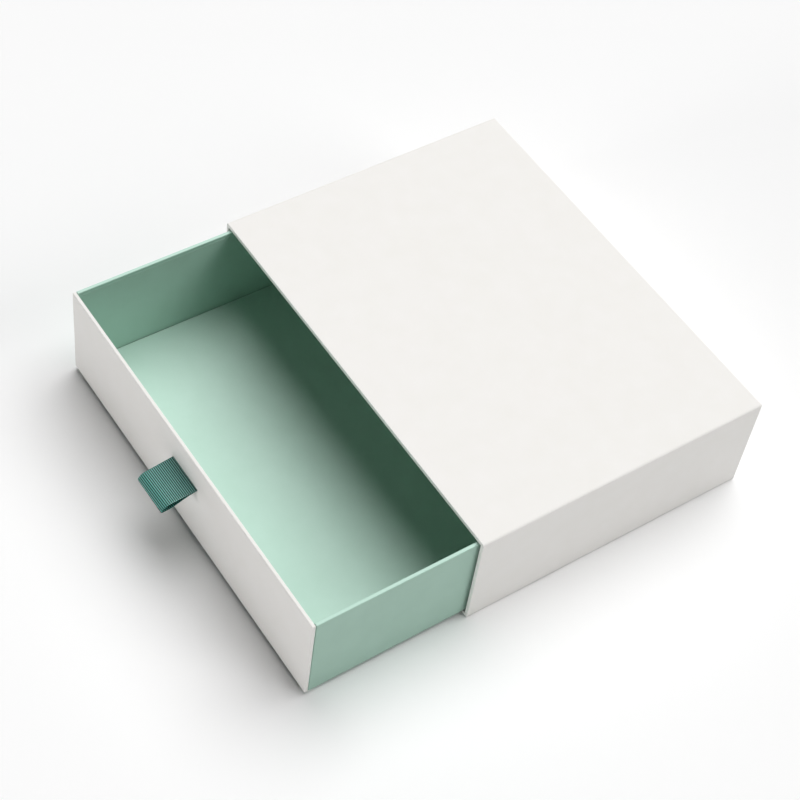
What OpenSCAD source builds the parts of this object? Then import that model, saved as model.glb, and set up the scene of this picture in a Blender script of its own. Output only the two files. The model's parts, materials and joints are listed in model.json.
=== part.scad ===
// Sliding drawer gift box: a paper-covered greyboard tray with a ribbon pull,
// in a paper-covered greyboard sleeve that is open at its mouth and closed at its back.
//
// The origin is the middle of the sleeve's underside, where the box stands.
// X runs across the box, -Y points out of the mouth, and Z is up.
// Every wall is a sandwich, from outside to inside: covering paper, board,
// a thin layer of turned-in paper or stay tape, and the lining.

/* [Sleeve] */
// Width of the sleeve, outside
sleeve_w = 220; // [140:1:400]
// Depth of the sleeve from its mouth to its back, outside
sleeve_d = 162; // [120:1:320]
// Height of the sleeve, outside
sleeve_h = 58.5; // [46:0.5:120]
// Radius of the four long edges of the sleeve
sleeve_edge_r = 1.2; // [0.5:0.1:2]
// Radius of the paper folded round the sleeve's mouth and back
mouth_fold_r = 0.4; // [0.35:0.05:0.7]

/* [Drawer] */
// How far the drawer stands out of the sleeve
drawer_open = 86; // [0:1:110]
// Radius of the drawer's rims and corners
drawer_edge_r = 0.45; // [0.35:0.05:0.8]

/* [Board and paper] */
// Thickness of the greyboard of every wall
board_t = 1.5; // [1:0.1:3]
// Thickness of the covering papers, linings and stay tapes
paper_t = 0.15; // [0.1:0.01:0.3]
// Thickness of the loose card on the drawer's floor
floor_card_t = 0.5; // [0.3:0.1:2]
// Depth to which covering paper is turned in at a rim or under a base
turn_in = 15; // [8:0.5:20]
// How far the white paper under the drawer runs on below the ends of its side walls
corner_lap = 1.5; // [0:0.1:4]
// Width of each leg of a stay tape
tape_leg = 12; // [6:0.5:20]
// Distance that flat outer sheets stop short of the edges
sheet_inset = 2; // [1:0.5:6]
// Distance that linings stop short of a rim or mouth
lining_inset = 2; // [1:0.5:6]
// Space between papers that lie side by side in one layer
paper_gap = 0.3; // [0.2:0.1:1]

/* [Fit] */
// Space between the drawer and the sleeve's lining at each side
side_gap = 1.1; // [0.4:0.05:1.5]
// Space above the drawer's rim
top_gap = 0.7; // [0.4:0.1:2]
// Space under the drawer
bottom_gap = 0.2; // [0.2:0.05:0.6]
// Space behind the drawer when it is shut
back_gap = 0.5; // [0.3:0.1:2]
// Open joint between the drawer's front wall and the ends of its side walls
joint_gap = 0.2; // [0:0.05:0.4]
// Space round the floor card
card_gap = 0.3; // [0.2:0.1:1]

/* [Ribbon pull] */
// Width of the ribbon
ribbon_w = 22; // [12:1:30]
// Thickness of the ribbon
ribbon_t = 0.45; // [0.3:0.05:0.8]
// How far the loop stands out of the drawer's front
pull_reach = 18.5; // [13:0.5:30]
// How far the tip of the loop hangs below its slit
pull_droop = 3.6; // [0:0.2:8]
// Outer radius of the tip of the loop
pull_tip_r = 2.1; // [1.5:0.1:4]
// Depth of the slit below the drawer's rim
pull_depth = 17; // [14:0.5:20]
// Length of each glued ribbon tail
ribbon_tail = 10; // [6:0.5:11]
// Space round the ribbon in its slit
slit_gap = 0.3; // [0.1:0.05:0.4]
// Margin of the anchor patch round the ribbon tails
patch_margin = 3; // [1:0.5:6]

/* [Hidden] */
$fn = 48;

// Layers of a wall, each measured inwards from its outer face
BOARD_OUT = paper_t;
BOARD_IN = BOARD_OUT + board_t;
TURN_IN = BOARD_IN + paper_t;
LINING_IN = TURN_IN + paper_t;

// Limits of the sleeve's covering paper: left, mouth and underside; right, back and top
sleeve_lo = [-sleeve_w / 2, -sleeve_d / 2, paper_t];
sleeve_hi = [sleeve_w / 2, sleeve_d / 2 - paper_t, sleeve_h];
mouth_y = sleeve_lo.y;
// Limits of the clear space inside the sleeve's lining
cave_lo = [sleeve_lo.x + LINING_IN, mouth_y, sleeve_lo.z + LINING_IN];
cave_hi = [sleeve_hi.x - LINING_IN, sleeve_hi.y - BOARD_IN - paper_t, sleeve_hi.z - LINING_IN];

// Limits of the drawer's covering papers where it stands
drawer_d = cave_hi.y - back_gap - mouth_y;
drawer_lo = [cave_lo.x + side_gap, mouth_y - drawer_open, cave_lo.z + bottom_gap + paper_t];
drawer_hi = [cave_hi.x - side_gap, drawer_lo.y + drawer_d, cave_hi.z - top_gap];
front_y = drawer_lo.y;
rim_z = drawer_hi.z;
// The wrapped thickness of a drawer wall, and the roundness that it leaves room for
wall_t = TURN_IN;
rim_r = min(drawer_edge_r, 0.45 * wall_t);
// The front ends of the side walls, and where the corners of the white flap that runs on
// under them start to be cut
side_wall_y = front_y + wall_t + joint_gap;
flap_cut_y = side_wall_y + corner_lap;
// The drawer's base board, which stands between the walls on the turned-under paper
base_lo = [drawer_lo.x + BOARD_IN, drawer_lo.y + BOARD_IN, drawer_lo.z + paper_t];
base_hi = [drawer_hi.x - BOARD_IN, drawer_hi.y - BOARD_IN, base_lo.z + board_t];
// The space inside the drawer's wall boards, and its lining
bay_lo = [drawer_lo.x + BOARD_IN, drawer_lo.y + BOARD_IN, base_hi.z];
bay_hi = [drawer_hi.x - BOARD_IN, drawer_hi.y - BOARD_IN, rim_z];

// The ribbon: the height of its slit and the plane in which its tails are glued
slit_z = rim_z - pull_depth;
slit_h = 2 * ribbon_t + 2 * slit_gap;
slit_w = ribbon_w + 2 * slit_gap;
tails_y = front_y + BOARD_IN;
tail_reach = ribbon_t + ribbon_tail;
// A cut that has to pass right through a wall starts and ends this far outside it
past = 1;

WHITE = "#f3f1ee";
MINT = "#b4d9c9";
GREYBOARD = "#a39d92";
GUMMED_TAPE = "#c8ab7c";
TEAL = "#1d6c5c";

// ---------------------------------------------------------------- shapes

// A plain block between two corners.
module block(lo, hi) {
    translate(lo) cube(hi - lo);
}

// A flat rectangle between two corners, with round corners.
module round_rect(lo, hi, r) {
    if (r > 0) {
        translate([lo.x + r, lo.y]) square([hi.x - lo.x - 2 * r, hi.y - lo.y]);
        translate([lo.x, lo.y + r]) square([hi.x - lo.x, hi.y - lo.y - 2 * r]);
        for (x = [lo.x + r, hi.x - r], y = [lo.y + r, hi.y - r])
            translate([x, y]) circle(r);
    } else {
        translate(lo) square(hi - lo);
    }
}

// A block whose edges are round: r holds the radius of the edges along X, Y and Z.
// It is what three rounded outlines, seen along each axis, have in common.
module round_block(lo, hi, r) {
    intersection() {
        translate([lo.x, 0, 0]) rotate([90, 0, 90])
            linear_extrude(hi.x - lo.x) round_rect([lo.y, lo.z], [hi.y, hi.z], r.x);
        translate([0, hi.y, 0]) rotate([90, 0, 0])
            linear_extrude(hi.y - lo.y) round_rect([lo.x, lo.z], [hi.x, hi.z], r.y);
        translate([0, 0, lo.z])
            linear_extrude(hi.z - lo.z) round_rect([lo.x, lo.y], [hi.x, hi.y], r.z);
    }
}

// The same on both sides of the plane X = 0.
module both_sides() {
    children();
    mirror([1, 0, 0]) children();
}

// A strip of tape folded along its middle, seen from its end: two legs from an inner corner.
module tape_angle(leg) {
    square([leg, paper_t]);
    square([paper_t, leg]);
}

// A flap of paper folded under the edge from a to b and cut at 45 degrees at both ends.
// It reaches turn_in from the edge, towards the left of the way from a to b.
module folded_flap(a, b) {
    length = norm(b - a);
    turn = atan2(b.y - a.y, b.x - a.x);
    translate([a.x, a.y, drawer_lo.z]) rotate([0, 0, turn]) linear_extrude(paper_t)
        polygon([[0, 0], [length, 0], [length - turn_in, turn_in], [turn_in, turn_in]]);
}

// ---------------------------------------------------------------- sleeve

// The outside of the sleeve, moved inwards by inset: the paper at 0, the boards at paper_t.
module sleeve_form(inset) {
    step = [inset, inset, inset];
    fold_r = mouth_fold_r - inset;
    round_block(sleeve_lo + step, sleeve_hi - step, [fold_r, sleeve_edge_r - inset, fold_r]);
}

// The space inside the sleeve's boards, moved inwards by inset and running out of its mouth.
module sleeve_bore(inset, from_y, to_y) {
    into = BOARD_IN + inset;
    block([sleeve_lo.x + into, from_y, sleeve_lo.z + into],
          [sleeve_hi.x - into, to_y, sleeve_hi.z - into]);
}

// The layer at the height of the sleeve's top or bottom board.
module sleeve_layer(z) {
    block([sleeve_lo.x - past, mouth_y - past, z],
          [sleeve_hi.x + past, sleeve_hi.y + past, z + board_t]);
}

module sleeve_top_board() {
    color(GREYBOARD) intersection() {
        sleeve_form(BOARD_OUT);
        sleeve_layer(sleeve_hi.z - BOARD_IN);
    }
}

module sleeve_bottom_board() {
    color(GREYBOARD) intersection() {
        sleeve_form(BOARD_OUT);
        sleeve_layer(sleeve_lo.z + BOARD_OUT);
    }
}

// A side board stands between the top and bottom boards.
module sleeve_side_board() {
    color(GREYBOARD) intersection() {
        sleeve_form(BOARD_OUT);
        block([sleeve_hi.x - BOARD_IN, mouth_y - past, sleeve_lo.z + BOARD_IN],
              [sleeve_hi.x + past, sleeve_hi.y + past, sleeve_hi.z - BOARD_IN]);
    }
}

module sleeve_right_board() {
    sleeve_side_board();
}

module sleeve_left_board() {
    mirror([1, 0, 0]) sleeve_side_board();
}

// The back board closes the tube from inside, flush with the back edges of the other four.
module sleeve_back_board() {
    color(GREYBOARD) sleeve_bore(0, sleeve_hi.y - BOARD_IN, sleeve_hi.y - BOARD_OUT);
}

// Gummed tapes hold the four long inner corners, behind the paper turned in at the mouth.
module sleeve_stay_tapes() {
    start_y = mouth_y + turn_in + paper_gap;
    length = sleeve_hi.y - BOARD_IN - paper_t - start_y;
    bore_h = sleeve_hi.z - sleeve_lo.z - 2 * BOARD_IN;
    leg = min(tape_leg, bore_h / 2 - paper_gap);
    color(GUMMED_TAPE) both_sides() {
        translate([sleeve_lo.x + BOARD_IN, start_y + length, sleeve_lo.z + BOARD_IN])
            rotate([90, 0, 0]) linear_extrude(length) tape_angle(leg);
        translate([sleeve_lo.x + BOARD_IN, start_y, sleeve_hi.z - BOARD_IN])
            rotate([-90, 0, 0]) linear_extrude(length) tape_angle(leg);
    }
}

// One white sheet goes right round the four long boards, and its two edges meet under the
// bottom. It is folded round the mouth and turned in, and folded over the back.
module sleeve_wrap() {
    strip = [turn_in, 0, turn_in];
    back_lo = [sleeve_lo.x, sleeve_hi.y - past, sleeve_lo.z];
    back_hi = [sleeve_hi.x, sleeve_hi.y + past, sleeve_hi.z];
    color(WHITE) difference() {
        union() {
            difference() {
                sleeve_form(0);
                sleeve_form(BOARD_OUT);
                // The mouth, and the bare middle of the back
                sleeve_bore(paper_t, mouth_y - past, mouth_y + past);
                block(back_lo + strip, back_hi - strip);
            }
            // The turned-in strip behind the mouth
            difference() {
                sleeve_bore(0, mouth_y + BOARD_OUT, mouth_y + turn_in);
                sleeve_bore(paper_t, mouth_y, mouth_y + turn_in + past);
            }
        }
        // The seam where the two edges of the sheet meet
        block([-paper_gap / 2, mouth_y - past, sleeve_lo.z - past],
              [paper_gap / 2, sleeve_hi.y + past, sleeve_lo.z + turn_in + past]);
    }
}

// The lining is a folded paper tube. Its front edge lies on the turned-in strip.
module sleeve_lining() {
    color(WHITE) difference() {
        sleeve_bore(paper_t, mouth_y + lining_inset, cave_hi.y);
        sleeve_bore(2 * paper_t, mouth_y, cave_hi.y + past);
    }
}

// A sheet lines the back board, between it and the end of the lining tube.
module sleeve_back_lining() {
    color(WHITE) sleeve_bore(0, cave_hi.y, cave_hi.y + paper_t);
}

// A sheet covers the folded paper on the back.
module sleeve_back_sheet() {
    color(WHITE)
        block([sleeve_lo.x + sheet_inset, sleeve_hi.y, sleeve_lo.z + sheet_inset],
              [sleeve_hi.x - sheet_inset, sleeve_d / 2, sleeve_hi.z - sheet_inset]);
}

// The sheet on which the box stands covers the seam.
module sleeve_underside_sheet() {
    color(WHITE)
        block([sleeve_lo.x + sheet_inset, mouth_y + sheet_inset, 0],
              [sleeve_hi.x - sheet_inset, sleeve_d / 2 - sheet_inset, paper_t]);
}

// ---------------------------------------------------------------- drawer

// One wrapped wall of the drawer, moved inwards by inset, with all its edges round.
module wall_form(lo, hi, inset) {
    step = [inset, inset, inset];
    r = rim_r - inset;
    round_block(lo + step, hi - step, [r, r, r]);
}

// The front wall spans the whole width.
module front_form(inset) {
    wall_form(drawer_lo, [drawer_hi.x, front_y + wall_t, rim_z], inset);
}

// The other three walls in one. Each wall is longer and thicker than it has to be, on the
// outside, and one block with round edges trims all three to the outline of the drawer.
// The side walls stop just behind the front wall.
module tray_form(inset) {
    spare = 2 * wall_t;
    outwards = [spare, spare, 0];
    intersection() {
        union() {
            both_sides()
                wall_form([drawer_hi.x - wall_t, front_y - spare, drawer_lo.z],
                          drawer_hi + outwards, inset);
            wall_form([drawer_lo.x - spare, drawer_hi.y - wall_t, drawer_lo.z],
                      drawer_hi + outwards, inset);
        }
        wall_form([drawer_lo.x, side_wall_y, drawer_lo.z], drawer_hi, inset);
    }
}

// The slit for the ribbon, cut through board and paper.
module ribbon_slit() {
    block([-slit_w / 2, front_y - past, slit_z - slit_h / 2],
          [slit_w / 2, front_y + wall_t + past, slit_z + slit_h / 2]);
}

// The hollow pressed into the inner face of the board, in which the tails lie flush.
module tail_hollow() {
    reach = tail_reach + slit_gap;
    block([-slit_w / 2, tails_y - ribbon_t, slit_z - reach],
          [slit_w / 2, tails_y + past, slit_z + reach]);
}

module drawer_front_board() {
    color(GREYBOARD) difference() {
        front_form(BOARD_OUT);
        ribbon_slit();
        tail_hollow();
    }
}

// The back board spans the whole width behind the side boards.
module drawer_back_board() {
    color(GREYBOARD) intersection() {
        tray_form(BOARD_OUT);
        block([drawer_lo.x, bay_hi.y, drawer_lo.z], drawer_hi);
    }
}

module drawer_side_board() {
    color(GREYBOARD) intersection() {
        tray_form(BOARD_OUT);
        block([bay_hi.x, front_y, drawer_lo.z], [drawer_hi.x, bay_hi.y, rim_z]);
    }
}

module drawer_right_board() {
    drawer_side_board();
}

module drawer_left_board() {
    mirror([1, 0, 0]) drawer_side_board();
}

module drawer_base_board() {
    color(GREYBOARD) block(base_lo, base_hi);
}

// Gummed tapes hold the four inner corners, below the paper turned in at the rims.
module drawer_stay_tapes() {
    length = rim_z - turn_in - paper_gap - bay_lo.z;
    color(GUMMED_TAPE) both_sides() {
        translate(bay_lo) linear_extrude(length) tape_angle(tape_leg);
        translate([bay_lo.x, bay_hi.y, bay_lo.z]) mirror([0, 1, 0])
            linear_extrude(length) tape_angle(tape_leg);
    }
}

// The white flap turned under the base. It runs on straight below the ends of the side walls
// before its corners are cut at 45 degrees, so that a little of it shows there.
// The mint paper is cut away for it, from this far below it.
module front_flap(below = 0) {
    right = [[drawer_hi.x, front_y + rim_r], [drawer_hi.x, flap_cut_y],
             [drawer_hi.x - turn_in, flap_cut_y + turn_in]];
    left = [for (i = [2:-1:0]) [-right[i].x, right[i].y]];
    translate([0, 0, drawer_lo.z - below]) linear_extrude(paper_t + below)
        polygon(concat(right, left));
}

// White paper covers the front wall. It is folded round both ends and over the rim,
// turned in behind the rim, and turned under the base.
module drawer_front_wrap() {
    color(WHITE) difference() {
        union() {
            front_form(0);
            front_flap();
        }
        front_form(BOARD_OUT);
        // The inner face of the board, below the turned-in strip
        block([bay_lo.x, front_y + BOARD_IN, drawer_lo.z + paper_t],
              [bay_hi.x, front_y + wall_t + past, rim_z - turn_in]);
        ribbon_slit();
    }
}

// Mint paper covers the other three walls. It is folded over their rims and turned in,
// folded round the front ends of the side walls, and turned under the base.
module drawer_tray_wrap() {
    side_x = drawer_hi.x - rim_r;
    back_y = drawer_hi.y - rim_r;
    start_y = flap_cut_y + rim_r + paper_gap;
    color(MINT) difference() {
        union() {
            tray_form(0);
            both_sides() folded_flap([side_x, start_y], [side_x, back_y - paper_gap]);
            folded_flap([side_x, back_y], [-side_x, back_y]);
        }
        tray_form(BOARD_OUT);
        front_flap(past);
        // The space inside the boards, below the turned-in strip
        block([bay_lo.x, front_y + wall_t - past, drawer_lo.z + paper_t],
              [bay_hi.x, bay_hi.y, rim_z - turn_in]);
    }
}

// The lining is a paper band round the four walls. Its upper edge lies on the turned-in paper.
module drawer_wall_lining() {
    outer = [paper_t, paper_t, 0];
    inner = [2 * paper_t, 2 * paper_t, -past];
    top = [0, 0, lining_inset];
    color(MINT) difference() {
        block(bay_lo + outer, bay_hi - outer - top);
        block(bay_lo + inner, bay_hi - inner);
    }
}

// A loose card covers the base board inside the lining. Its upper edges are softened.
module drawer_floor_card() {
    side = 2 * paper_t + card_gap;
    edge_r = floor_card_t / 2;
    color(MINT)
        round_block(bay_lo + [side, side, 0],
                    [bay_hi.x - side, bay_hi.y - side, bay_lo.z + floor_card_t],
                    [edge_r * 0.9, edge_r * 0.9, edge_r]);
}

module drawer_underside_sheet() {
    color(MINT)
        block([drawer_lo.x + sheet_inset, front_y + sheet_inset, drawer_lo.z - paper_t],
              [drawer_hi.x - sheet_inset, drawer_hi.y - sheet_inset, drawer_lo.z]);
}

// ---------------------------------------------------------------- ribbon pull

// Where a line from point p touches a circle: side is 1 or -1 for either of the two lines.
function touch(p, centre, r, side) =
    let (reach = norm(p - centre))
    let (towards_p = atan2(p.y - centre.y, p.x - centre.x))
    let (turn = towards_p + side * acos(r / reach))
    centre + r * [cos(turn), sin(turn)];

// A drop shape, seen from the side: a circle, and the lines that touch it from two points.
module drop_outline(low, high, centre, r) {
    translate(centre) circle(r);
    polygon([low, high, touch(high, centre, r, 1), centre, touch(low, centre, r, -1)]);
}

// The ribbon in section, from the side: Y runs into the drawer, and the second axis is up.
module ribbon_section() {
    tip = [front_y - pull_reach + pull_tip_r, slit_z - pull_droop];
    slit = [front_y, slit_z];
    legs = [0, ribbon_t];
    // The loop
    difference() {
        drop_outline(slit - legs, slit + legs, tip, pull_tip_r);
        drop_outline(slit, slit, tip, pull_tip_r - ribbon_t);
    }
    // Both legs in the slit
    translate(slit - legs) square([BOARD_IN, 2 * ribbon_t]);
    // The two tails, one up and one down
    translate([tails_y - ribbon_t, slit_z - tail_reach]) square([ribbon_t, 2 * tail_reach]);
}

module ribbon_pull() {
    color(TEAL) translate([-ribbon_w / 2, 0, 0]) rotate([90, 0, 90])
        linear_extrude(ribbon_w) ribbon_section();
}

// A patch of paper over the tails, below the turned-in strip.
module ribbon_anchor_patch() {
    half_w = ribbon_w / 2 + patch_margin;
    color(GUMMED_TAPE)
        block([-half_w, tails_y, slit_z - tail_reach - patch_margin],
              [half_w, tails_y + paper_t, rim_z - turn_in - paper_gap]);
}

// ---------------------------------------------------------------- the box

sleeve_top_board();
sleeve_bottom_board();
sleeve_left_board();
sleeve_right_board();
sleeve_back_board();
sleeve_stay_tapes();
sleeve_wrap();
sleeve_lining();
sleeve_back_lining();
sleeve_back_sheet();
sleeve_underside_sheet();
drawer_front_board();
drawer_left_board();
drawer_right_board();
drawer_back_board();
drawer_base_board();
drawer_stay_tapes();
drawer_front_wrap();
drawer_tray_wrap();
drawer_wall_lining();
drawer_floor_card();
drawer_underside_sheet();
ribbon_pull();
ribbon_anchor_patch();
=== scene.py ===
# %% [markdown]
# # Dressing a drawer gift box
#
# The object is a rigid box made of greyboard and paper: a white sleeve, a tray lined in mint
# paper that slides out of it, and a loop of teal grosgrain ribbon to pull the tray by.
# The frame holds every board and paper at its real size. This lesson gives those papers their
# finish, weaves the ribbon as a mesh of its own, and lights the box as in a plain studio.
# Places are in metres, with X across the box, -Y out of its mouth and Z up. Small sizes are
# written in millimetres, and MM turns them into metres.

# %% Load the frame
import json
import math

import bpy
import numpy as np
from mathutils import Matrix, Vector


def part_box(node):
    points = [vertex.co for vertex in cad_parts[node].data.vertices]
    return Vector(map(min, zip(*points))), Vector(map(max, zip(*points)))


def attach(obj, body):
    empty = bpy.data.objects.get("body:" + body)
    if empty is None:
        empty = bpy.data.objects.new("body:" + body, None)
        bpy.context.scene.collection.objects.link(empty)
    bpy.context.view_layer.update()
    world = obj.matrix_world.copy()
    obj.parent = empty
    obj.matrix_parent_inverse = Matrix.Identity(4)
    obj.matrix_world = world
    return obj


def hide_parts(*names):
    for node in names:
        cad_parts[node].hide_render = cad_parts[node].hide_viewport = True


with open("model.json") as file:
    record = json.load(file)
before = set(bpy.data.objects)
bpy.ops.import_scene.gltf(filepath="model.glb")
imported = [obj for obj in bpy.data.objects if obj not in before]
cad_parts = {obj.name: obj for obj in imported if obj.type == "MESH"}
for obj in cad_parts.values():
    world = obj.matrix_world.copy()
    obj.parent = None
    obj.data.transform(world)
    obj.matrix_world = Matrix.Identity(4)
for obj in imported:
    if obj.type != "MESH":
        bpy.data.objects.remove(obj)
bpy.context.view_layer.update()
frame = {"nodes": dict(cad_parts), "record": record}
MM = 0.001
print("nodes in the frame:", len(frame["nodes"]))

# %% [markdown]
# ## Camera
#
# The box is seen from above its near right corner through a long lens, and the camera leans a
# little to one side. A camera can be placed by its angles, or by the point it stands at and
# the point it looks at. The second is easier to read, and leaves only the lean as an angle.

# %% Camera
EYE = Vector((0.4541, -0.4408, 0.7570))
LOOK_AT = Vector((0.0066, -0.0527, 0.0300))
LEAN = 9.35
LENS_MM = 88.2
SENSOR_MM = 36.0


def camera_matrix(eye, look_at, lean):
    """Columns are right, up and backwards. Level right is forward x Z, and the lean turns it."""
    forward = (look_at - eye).normalized()
    level_right = forward.cross(Vector((0, 0, 1))).normalized()
    level_up = level_right.cross(forward)
    angle = math.radians(lean)
    right = math.cos(angle) * level_right + math.sin(angle) * level_up
    up = right.cross(forward)
    turn = Matrix((right, up, -forward)).transposed()
    return Matrix.Translation(eye) @ turn.to_4x4()


lens = bpy.data.cameras.new("camera")
lens.lens = LENS_MM
lens.sensor_width = SENSOR_MM
lens.clip_end = 50
camera = bpy.data.objects.new("camera", lens)
camera.matrix_world = camera_matrix(EYE, LOOK_AT, LEAN)
bpy.context.collection.objects.link(camera)
bpy.context.scene.camera = camera
print("camera stands", round((LOOK_AT - EYE).length, 3), "m from what it looks at")

# %% [markdown]
# ## Colours and nodes
#
# Colours are written as hex codes, and one function turns them into the linear values that
# Blender works in. One more function adds a node, sets it and links it, so that each finish
# reads as a short list of what it is made of.

# %% Helpers for finishes
def linear(code):
    """sRGB hex to linear: c/12.92 below 0.04045, else ((c+0.055)/1.055)^2.4."""
    srgb = np.array([int(code[i : i + 2], 16) for i in (1, 3, 5)]) / 255
    low = srgb / 12.92
    high = ((srgb + 0.055) / 1.055) ** 2.4
    return (*np.where(srgb <= 0.04045, low, high).tolist(), 1.0)


def add(tree, kind, inputs=None, **settings):
    """Adds a node. Settings are its own properties; inputs are values or sockets to link."""
    node = tree.nodes.new(kind)
    for name, value in settings.items():
        setattr(node, name, value)
    for name, value in (inputs or {}).items():
        if isinstance(value, bpy.types.NodeSocket):
            tree.links.new(value, node.inputs[name])
        else:
            node.inputs[name].default_value = value
    return node


def blank(name):
    """A new material with only its surface shader, ready to be filled."""
    material = bpy.data.materials.new(name)
    material.use_nodes = True
    tree = material.node_tree
    return material, tree, tree.nodes["Principled BSDF"]


# %% [markdown]
# ## Floor and light
#
# The box stands on a pale studio floor. One broad soft light comes from above and behind the
# sleeve: it leaves the top brightest, throws the shadow forwards, and lets the sleeve shade
# the tray near its mouth. A smaller one from the right and a low one from the front keep
# the upright faces pale. The low one passes over the tray without reaching its floor, and
# there is hardly any light from the sky, so the tray is deep in shade by the mouth. Each
# light's level is the share of white that it gives to a level white surface. Together
# they come to a little under 1, so that every colour renders about as it is written. Close
# to the sleeve the floor also gets light back from it, and there it reaches pure white. The
# camera and every gloss see a pale backdrop, which lights no matt surface.

# %% Floor and light
FLOOR_SIZE = 8.0
FLOOR_DROP = 0.02 * MM
SKY_LEVEL = 0.006


def sun(name, towards, level, spread):
    """A distant light. level / sin(height) * pi watts give a level white surface that share."""
    lamp = bpy.data.lights.new(name, "SUN")
    away = Vector(towards).normalized()
    lamp.energy = level * np.pi / away.z
    lamp.angle = np.radians(spread)
    obj = bpy.data.objects.new(name, lamp)
    obj.rotation_euler = away.to_track_quat("Z", "Y").to_euler()
    bpy.context.collection.objects.link(obj)
    return obj


sun("key_light", (-0.15, 0.38, 0.91), 0.825, 60)
sun("side_light", (0.75, 0.43, 0.50), 0.105, 30)
sun("front_fill", (0.0, -0.99, 0.14), 0.034, 16)

floor_mesh = bpy.data.meshes.new("floor")
half = FLOOR_SIZE / 2
corners = [(x, y, -FLOOR_DROP) for x, y in ((-half, -half), (half, -half), (half, half), (-half, half))]
floor_mesh.from_pydata(corners, [], [(0, 1, 2, 3)])
floor = bpy.data.objects.new("floor", floor_mesh)
bpy.context.collection.objects.link(floor)

floor_paint, tree, surface = blank("matt_studio_floor")
surface.inputs["Base Color"].default_value = linear("#fdfdfd")
surface.inputs["Roughness"].default_value = 1.0
surface.inputs["Specular IOR Level"].default_value = 0.0
floor_mesh.materials.append(floor_paint)

world = bpy.data.worlds.new("studio")
bpy.context.scene.world = world
world.use_nodes = True
tree = world.node_tree
tree.nodes.clear()
rays = add(tree, "ShaderNodeLightPath")
seen = add(tree, "ShaderNodeMath", {0: rays.outputs["Is Camera Ray"], 1: rays.outputs["Is Glossy Ray"]},
           operation="MAXIMUM")
seen = add(tree, "ShaderNodeMath", {0: seen.outputs[0], 1: rays.outputs["Is Transmission Ray"]},
           operation="MAXIMUM")
sky = add(tree, "ShaderNodeBackground", {"Color": linear("#ffffff"), "Strength": SKY_LEVEL})
backdrop = add(tree, "ShaderNodeBackground", {"Color": linear("#fdfdfd"), "Strength": 1.0})
mixed = add(tree, "ShaderNodeMixShader", {0: seen.outputs[0], 1: sky.outputs[0], 2: backdrop.outputs[0]})
add(tree, "ShaderNodeOutputWorld", {"Surface": mixed.outputs[0]})
bpy.context.scene.view_settings.view_transform = "Standard"

# %% [markdown]
# ## Covering paper
#
# Covering paper is coated art paper of about 150 g, printed and laminated with a matt film.
# The film gives a soft sheen with no clear reflection, so roughness is about a half. Under
# it the paper isn't quite even: its fibres lie in clouds a centimetre wide, and single
# fibres show as short flecks. The board below it rises and falls by a few hundredths of
# a millimetre over a few centimetres, which bends a reflection gently. Over the top of a
# mint rim the shade turns paler: a painted highlight. The tray is lined in a softer paper.
# The mint parts are one paper given close shades: the outer paper and the lining darker, as
# painted shade on their upright sides, and the card on the floor lighter, as painted light.

# %% Paper finish
# Widths and heights in mm
RIM_LIGHT_WIDTH = 0.5
CLOUD_WIDTH = 11
FLECK_WIDTH = 0.6
SWELL_WIDTH = 32
SWELL_HEIGHT = 0.02
TOOTH_WIDTH = 0.35
# The flecks' share of the shade, the range of the noise that is used, and how far the
# roughness strays to both sides
FLECK_SHARE = 0.4
NOISE_LOW, NOISE_HIGH = 0.35, 0.65
GLOSS_SPREAD = 0.04


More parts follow.
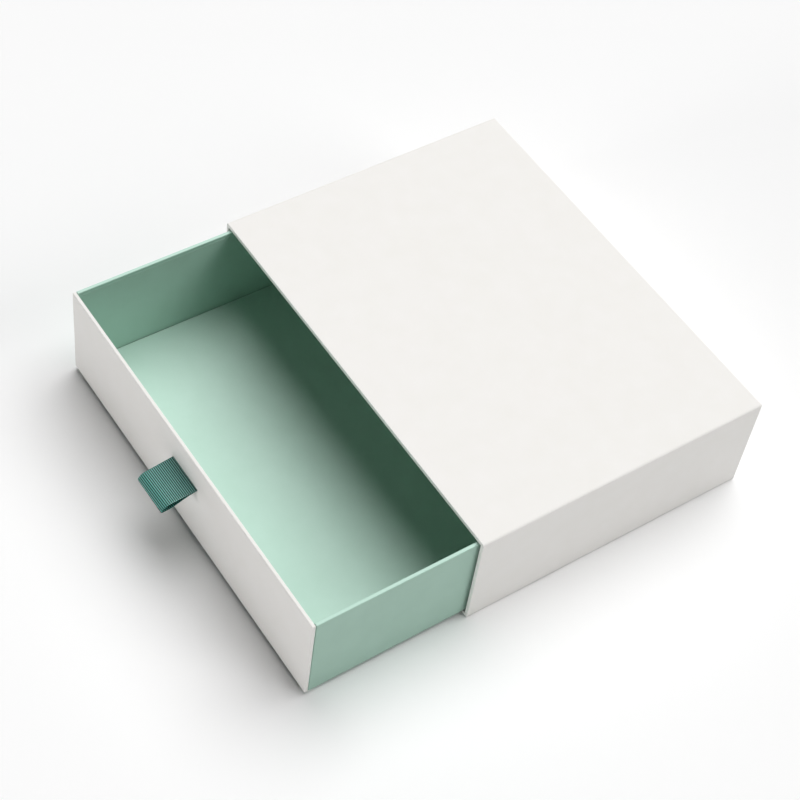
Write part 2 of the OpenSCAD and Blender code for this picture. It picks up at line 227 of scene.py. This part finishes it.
def paper(name, colour, darker, roughness, tooth, rim_highlight=None):
    """Two close shades mixed by clouds and flecks, over the board's swell and a fine tooth.

    The last argument, if given, is (height of a folded rim, the colour of a painted highlight along its top):
    the shade turns to it over the highlight's width."""
    material, tree, surface = blank(name)
    place = add(tree, "ShaderNodeTexCoord").outputs["Object"]
    clouds = add(tree, "ShaderNodeTexNoise", {"Vector": place, "Scale": 1 / (CLOUD_WIDTH * MM),
                                              "Detail": 3.0})
    # Real fibres are 0.02 mm thick: they are drawn thirty times coarser, so that they show
    flecks = add(tree, "ShaderNodeTexNoise", {"Vector": place, "Scale": 1 / (FLECK_WIDTH * MM),
                                              "Detail": 4.0, "Roughness": 0.7})
    both = add(tree, "ShaderNodeMix", {"Factor": FLECK_SHARE, "A": clouds.outputs[0],
                                       "B": flecks.outputs[0]})
    amount = add(tree, "ShaderNodeMapRange", {"Value": both.outputs[0], "From Min": NOISE_LOW,
                                              "From Max": NOISE_HIGH})
    shade = add(tree, "ShaderNodeMix", {"Factor": amount.outputs[0], "A": linear(darker),
                                        "B": linear(colour)}, data_type="RGBA")
    # Painted highlight: over the top of a rim the shade turns to a paler colour
    if rim_highlight:
        height = add(tree, "ShaderNodeSeparateXYZ", {0: place}).outputs["Z"]
        rim_light = add(tree, "ShaderNodeMapRange", {"Value": height, "From Min": rim_highlight[0] - RIM_LIGHT_WIDTH * MM,
                                                  "From Max": rim_highlight[0]})
        shade = add(tree, "ShaderNodeMix", {"Factor": rim_light.outputs[0], "A": shade.outputs["Result"],
                                            "B": linear(rim_highlight[1])}, data_type="RGBA")
    tree.links.new(shade.outputs["Result"], surface.inputs["Base Color"])
    gloss = add(tree, "ShaderNodeMapRange", {"Value": flecks.outputs[0], "To Min": roughness - GLOSS_SPREAD,
                                             "To Max": roughness + GLOSS_SPREAD})
    tree.links.new(gloss.outputs[0], surface.inputs["Roughness"])
    surface.inputs["IOR"].default_value = 1.48
    surface.inputs["Specular IOR Level"].default_value = 0.15
    swell = add(tree, "ShaderNodeTexNoise", {"Vector": place, "Scale": 1 / (SWELL_WIDTH * MM),
                                             "Detail": 1.0})
    board = add(tree, "ShaderNodeBump", {"Height": swell.outputs[0], "Distance": SWELL_HEIGHT * MM})
    grain = add(tree, "ShaderNodeTexNoise", {"Vector": place, "Scale": 1 / (TOOTH_WIDTH * MM),
                                             "Detail": 2.0})
    rough = add(tree, "ShaderNodeBump", {"Height": grain.outputs[0], "Distance": tooth * MM,
                                         "Normal": board.outputs[0]})
    tree.links.new(rough.outputs[0], surface.inputs["Normal"])
    return material


rim_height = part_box("drawer_tray_wrap")[1][2]
white_wrap = paper("matt_laminated_art_paper_white", "#f6f4f1", "#f4f2ee", 0.55, 0.004)
white_lining = paper("uncoated_paper_white", "#efede8", "#e9e7e1", 0.85, 0.012)
# The paler rim colour is a painted highlight along the top of the mint rims, and this paper's darker shades
# are painted shade for its upright sides
mint_wrap = paper("matt_laminated_art_paper_mint", "#afcfc0", "#abcbbc", 0.52, 0.004, (rim_height, "#c8e8da"))
mint_lining = paper("printed_art_paper_mint", "#aecdbf", "#aac9ba", 0.62, 0.006)
# Lighter than the other mint papers: painted light on the tray's floor
mint_card = paper("mint_card_painted_lighter", "#c5e0d4", "#c1ddd0", 0.62, 0.006)
papers = (white_wrap, white_lining, mint_wrap, mint_lining, mint_card)
print("paper finishes made:", len(papers))

# %% [markdown]
# ## Greyboard and tape
#
# The boards are greyboard, pressed from waste paper, with dark and light specks a few tenths
# of a millimetre across. They show only where a box is cut open. The corners are held by
# brown kraft tape, whose long fibres make fine streaks.

# %% Greyboard and tape
# Where along the noise the dark, the middle and the light shade stand
SHADES_AT = (0.36, 0.5, 0.66)
SPECK_HEIGHT = 0.03


def speckled(name, colours, speck, stretch, roughness):
    """A ramp of three shades over noise whose specks are this wide, drawn out along Z."""
    material, tree, surface = blank(name)
    place = add(tree, "ShaderNodeTexCoord").outputs["Object"]
    drawn = add(tree, "ShaderNodeMapping", {"Vector": place, "Scale": (1.0, 1.0, 1 / stretch)})
    noise = add(tree, "ShaderNodeTexNoise", {"Vector": drawn.outputs[0], "Scale": 1 / (speck * MM),
                                             "Detail": 5.0, "Roughness": 0.75})
    ramp = add(tree, "ShaderNodeValToRGB", {"Fac": noise.outputs[0]})
    dark_at, middle_at, light_at = SHADES_AT
    ramp.color_ramp.elements[0].position = dark_at
    ramp.color_ramp.elements[1].position = light_at
    ramp.color_ramp.elements.new(middle_at)
    for element, code in zip(ramp.color_ramp.elements, colours):
        element.color = linear(code)
    tree.links.new(ramp.outputs[0], surface.inputs["Base Color"])
    bump = add(tree, "ShaderNodeBump", {"Height": noise.outputs[0], "Distance": SPECK_HEIGHT * MM})
    tree.links.new(bump.outputs[0], surface.inputs["Normal"])
    surface.inputs["Roughness"].default_value = roughness
    return material


greyboard = speckled("pressed_greyboard", ("#857f76", "#a39d92", "#b8b2a8"), 0.5, 1.0, 0.9)
kraft_tape = speckled("gummed_kraft_tape", ("#b5966a", "#c8ab7c", "#d4ba90"), 0.3, 6.0, 0.7)

# %% [markdown]
# ## Dressing the frame
#
# Every board and paper of the frame keeps its own mesh and gets the finish that its slot
# in the record asks for. The card on the floor shares a slot with the lining, and has its
# own lighter shade, which is painted light.

# %% Dress the frame's pieces
FINISH_OF_PIECE = {"drawer_floor_card": mint_card}
FINISH_OF_SLOT = {
    "white_wrap": white_wrap,
    "white_lining": white_lining,
    "mint_wrap": mint_wrap,
    "mint_lining": mint_lining,
    "greyboard": greyboard,
    "gummed_tape": kraft_tape,
}
for part in frame["record"]["subparts"]:
    if part["material_slot"] in FINISH_OF_SLOT:
        mesh = frame["nodes"][part["node"]].data
        mesh.materials.clear()
        mesh.materials.append(FINISH_OF_PIECE.get(part["node"], FINISH_OF_SLOT[part["material_slot"]]))
print("finishes in use:", len(FINISH_OF_SLOT) + len(FINISH_OF_PIECE))

# %% [markdown]
# ## The ribbon's path
#
# The pull is one strip of grosgrain. It comes down from a tail glued to the back of the front
# board, bends out through the slit, runs out nearly level, turns down and back, and goes
# through the slit again to a second tail that hangs down. It could be a bent plane with a
# cloth solver, but a loop this stiff and short holds the shape that its maker folded. So each
# edge of the ribbon is drawn as a line seen from the side: straight runs and quarter turns
# inside the board, and for the loop a smooth curve through eighteen points. The right edge is
# pinched at its nose, the left one hangs lower and stays open, and the cloth between them
# follows both. The ribbon hangs low in its slit, which leaves half a millimetre above it.

# %% Ribbon path
# About a twelfth of the distance between two ribs, so that each rib comes out round
RIBBON_STEP = 0.079
CURVE_POINTS = 1200
RIBBON_SAG = 0.22
strip_lo, strip_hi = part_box("ribbon_pull")
SLIT_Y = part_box("drawer_front_wrap")[0][1]
SLIT_Z = (strip_lo[2] + strip_hi[2]) / 2 - RIBBON_SAG * MM
RIBBON_WIDTH = (strip_hi[0] - strip_lo[0]) / MM
RIBBON_THICKNESS = 0.45
TAIL_OUT = -(strip_hi[1] - SLIT_Y) / MM + RIBBON_THICKNESS / 2
TAIL_UP = (strip_hi[2] - strip_lo[2]) / 2 / MM
BEND_RADIUS = 0.6
# Points of each edge in mm: how far out of the front, and how far above the ribbon in its slit
LOOP_RIGHT = [(0, 0.23), (3.5, -0.1), (7, -0.42), (10.4, -0.78), (13.5, -1.12), (15.2, -1.65), (16.7, -2.6),
              (17.9, -3.7), (18.25, -4.3), (17.6, -4.75), (16, -4.65), (14, -4.45), (12, -4.0), (10, -3.25),
              (7.9, -2.45), (4.2, -1.15), (1.5, -0.5), (0, -0.23)]
LOOP_LEFT = [(0, 0.23), (3.2, -0.15), (6.1, -0.62), (9.1, -1.12), (12, -1.55), (14.2, -1.95), (15.7, -2.4),
             (17.2, -3.6), (17.95, -5.1), (17.5, -6.2), (16.2, -6.4), (14, -5.85), (12, -5.1), (10, -4.25),
             (7.9, -3.3), (4.2, -1.6), (1.5, -0.65), (0, -0.23)]


def smooth_through(points, count):
    """Catmull-Rom: each stretch is a cubic whose end slopes are half the step between neighbours."""
    p = np.array(points, float)
    p = np.vstack([2 * p[0] - p[1], p, 2 * p[-1] - p[-2]])
    t = np.linspace(0, len(points) - 1, count, endpoint=False)
    i = t.astype(int)
    u = (t - i)[:, None]
    a, b, c, d = p[i], p[i + 1], p[i + 2], p[i + 3]
    return 0.5 * (2 * b + (c - a) * u + (2 * a - 5 * b + 4 * c - d) * u**2 + (3 * b - a - 3 * c + d) * u**3)


def quarter_turn(centre, radius, start, end, count=24):
    """Part of a circle between two angles in degrees."""
    angle = np.radians(np.linspace(start, end, count))[:, None]
    return np.array(centre) + radius * np.hstack([np.cos(angle), np.sin(angle)])


def edge_line(loop):
    """One edge from tail to tail: straight down, quarter turn, loop, quarter turn, straight down."""
    centre = (TAIL_OUT + BEND_RADIUS, loop[0][1] + BEND_RADIUS)
    bend = quarter_turn(centre, BEND_RADIUS, 180, 270)
    return np.vstack([[(TAIL_OUT, TAIL_UP)], bend, smooth_through(loop, CURVE_POINTS), [loop[-1]],
                      bend[::-1] * (1, -1), [(TAIL_OUT, -TAIL_UP)]])


def distance_along(path):
    """Length of the path up to each of its points."""
    return np.concatenate([[0], np.cumsum(np.linalg.norm(np.diff(path, axis=0), axis=1))])


def even_steps(path, count):
    """The same path at equal steps: linear interpolation over its length."""
    length = distance_along(path)
    at = np.linspace(0, length[-1], count)
    return np.stack([np.interp(at, length, path[:, k]) for k in (0, 1)], 1)


edges = [edge_line(LOOP_RIGHT), edge_line(LOOP_LEFT)]
lengths = [distance_along(edge)[-1] for edge in edges]
ribbon_length = sum(lengths) / 2
rows = int(round(ribbon_length / RIBBON_STEP)) + 1
right_edge, left_edge = (even_steps(edge, rows) for edge in edges)
along = np.linspace(0, ribbon_length, rows)
print("ribbon strip:", round(RIBBON_WIDTH, 1), "mm wide")
print("its edges, mm:", [round(float(value), 1) for value in lengths])

# %% [markdown]
# ## Weaving the ribbon
#
# Grosgrain gets its ribs from thick weft threads that cross the ribbon under a cover of
# fine warp threads. They stand 0.12 mm proud, enough for each rib to catch its own line of
# light and shade the next, so they belong in the mesh and not only in a bump. The section of
# the strip, a flat loop with round edges, is carried along both edge lines, and the ribs
# swell it by the root of a cosine of the distance along, which makes round crests and
# narrow valleys. Towards both edges they fade into the plain selvedge, where the weft
# threads turn back in little scallops.

# %% Ribbon mesh
RIB_PITCH = 0.95
RIB_HEIGHT = 0.12
SELVEDGE = 0.7
SCALLOP = 0.05
POINTS_ACROSS = 40
POINTS_ROUND_EDGE = 5


def ribbon_section(width, thickness, across, round_edge):
    """A closed loop of (x, z): top from left to right, half circle, bottom back, half circle."""
    r = thickness / 2
    flat = width / 2 - r
    # Close together near the edges and wide apart in the middle
    x = flat * np.sin(np.linspace(-np.pi / 2, np.pi / 2, across))
    turn = np.linspace(90, -90, round_edge + 2)[1:-1]
    edge = np.stack([flat + r * np.cos(np.radians(turn)), r * np.sin(np.radians(turn))], 1)
    top = np.stack([x, np.full(across, r)], 1)
    return np.vstack([top, edge, -top, -edge])


def normals(path):
    """The direction of each step of a path, turned a quarter to its left."""
    tangent = np.gradient(path, axis=0)
    tangent /= np.linalg.norm(tangent, axis=1)[:, None]
    return np.stack([-tangent[:, 1], tangent[:, 0]], 1)


def weave(right, left, along):
    """Grid of points: line + (z + rib) * normal, with both mixed from the right and left edges.

    A rib is sqrt(|cos(pi s / pitch)|), with s the distance along the ribbon."""
    plain_thickness = RIBBON_THICKNESS - 2 * RIB_HEIGHT
    section = ribbon_section(RIBBON_WIDTH, plain_thickness, POINTS_ACROSS, POINTS_ROUND_EDGE)
    x, z = section[:, 0], section[:, 1]
    from_edge = RIBBON_WIDTH / 2 - np.abs(x)
    body = np.clip(from_edge / SELVEDGE, 0, 1)
    body = body * body * (3 - 2 * body)
    wave = np.sqrt(np.abs(np.cos(np.pi * along / RIB_PITCH)))
    rib = RIB_HEIGHT * wave[:, None] * (np.sign(z) * body)[None, :]
    scallop = SCALLOP * (wave[:, None] - 1) * (np.sign(x) * (1 - body))[None, :]
    side = x[None, :] + scallop
    share = (0.5 - side / RIBBON_WIDTH)[..., None]
    line = right[:, None] * (1 - share) + left[:, None] * share
    normal = normals(right)[:, None] * (1 - share) + normals(left)[:, None] * share
    normal /= np.linalg.norm(normal, axis=2)[..., None]
    out, up = np.moveaxis(line + (z[None, :] + rib)[..., None] * normal, 2, 0)
    return np.stack([side * MM, SLIT_Y - out * MM, SLIT_Z + up * MM], 2), section


points, section = weave(right_edge, left_edge, along)
print("ribbon grid:", points.shape[:2], "points and", int(ribbon_length / RIB_PITCH), "ribs")


def strip_mesh(name, points, uv):
    """Quads over a grid that is closed across, with a face over each end, and its UV map."""
    rows, cols = points.shape[:2]
    index = np.arange(rows * cols).reshape(rows, cols)
    right = np.roll(index, -1, axis=1)
    quads = np.stack([index[:-1], index[1:], right[1:], right[:-1]], 2).reshape(-1, 4)
    ends = [index[0].tolist(), index[-1][::-1].tolist()]
    mesh = bpy.data.meshes.new(name)
    mesh.from_pydata(points.reshape(-1, 3).tolist(), [], quads.tolist() + ends)
    layer = mesh.uv_layers.new(name="weave")
    corner = np.empty(len(mesh.loops), np.int32)
    mesh.loops.foreach_get("vertex_index", corner)
    layer.data.foreach_set("uv", uv.reshape(-1, 2)[corner].ravel())
    mesh.polygons.foreach_set("use_smooth", np.ones(len(mesh.polygons), bool))
    mesh.update()
    return mesh


uv = np.stack(np.broadcast_arrays(section[None, :, 0], along[:, None]), 2)
ribbon = bpy.data.objects.new("ribbon_loop", strip_mesh("ribbon_loop", points, uv))
bpy.context.collection.objects.link(ribbon)

# %% [markdown]
# The ribbon is dyed polyester, whose smooth threads give a satin light along the ribs. Its UV
# map is in millimetres, across and along, so that a pattern follows the cloth round its bends.
# The dye's teal is mixed along each rib: deep in a valley, which is painted shade, and pale
# in a narrow line along each crest, which is a painted highlight. It takes a little unevenly,
# in spots under a millimetre wide. The warp threads that cover the ribs of such a ribbon lie
# about 0.3 mm apart: they are drawn twice as wide, so that they show.

# %% Ribbon finish
# Widths and heights in mm
WARP_PITCH = 0.6
WARP_HEIGHT = 0.02
SPOT_WIDTH = 0.625
# How far the spots and the warp threads turn the dye's colour down and up
SPOT_TONE = (0.85, 1.15)
WARP_TONE = (0.78, 1.12)

dyed, tree, surface = blank("dyed_polyester_grosgrain")
weave_uv = add(tree, "ShaderNodeUVMap", uv_map="weave").outputs[0]
parts = add(tree, "ShaderNodeSeparateXYZ", {0: weave_uv})


def stripes(tree, distance, pitch):
    """0 to 1 and back once in each pitch: (1 + cos(2 pi d / pitch)) / 2."""
    turns = add(tree, "ShaderNodeMath", {0: distance, 1: 2 * np.pi / pitch}, operation="MULTIPLY")
    wave = add(tree, "ShaderNodeMath", {0: turns.outputs[0]}, operation="COSINE")
    lifted = add(tree, "ShaderNodeMath", {0: wave.outputs[0], 1: 0.5, 2: 0.5}, operation="MULTIPLY_ADD")
    return lifted.outputs[0]


rib = stripes(tree, parts.outputs["Y"], RIB_PITCH)
warp = stripes(tree, parts.outputs["X"], WARP_PITCH)
# Painted shade deep in each valley and a painted highlight along each crest of a rib
crest = add(tree, "ShaderNodeMath", {0: rib, 1: 2.0}, operation="POWER")
dye_and_rib_light = add(tree, "ShaderNodeMix", {"Factor": crest.outputs[0], "A": linear("#05231f"),
                                  "B": linear("#68c4b6")}, data_type="RGBA")
uneven = add(tree, "ShaderNodeTexNoise", {"Vector": weave_uv, "Scale": 1 / SPOT_WIDTH, "Detail": 3.0})
amount = add(tree, "ShaderNodeMapRange", {"Value": uneven.outputs[0], "To Min": SPOT_TONE[0],
                                          "To Max": SPOT_TONE[1]})
streak = add(tree, "ShaderNodeMapRange", {"Value": warp, "To Min": WARP_TONE[0], "To Max": WARP_TONE[1]})
tone = add(tree, "ShaderNodeMath", {0: amount.outputs[0], 1: streak.outputs[0]}, operation="MULTIPLY")
toned = add(tree, "ShaderNodeMix", {"Factor": 1.0, "A": dye_and_rib_light.outputs["Result"], "B": tone.outputs[0]},
            data_type="RGBA", blend_type="MULTIPLY")
tree.links.new(toned.outputs["Result"], surface.inputs["Base Color"])
threads = add(tree, "ShaderNodeBump", {"Height": warp, "Distance": WARP_HEIGHT * MM})
tree.links.new(threads.outputs[0], surface.inputs["Normal"])
surface.inputs["Roughness"].default_value = 0.28
surface.inputs["IOR"].default_value = 1.57
surface.inputs["Specular IOR Level"].default_value = 0.35
ribbon.data.materials.append(dyed)

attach(ribbon, "drawer")
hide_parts("ribbon_pull")
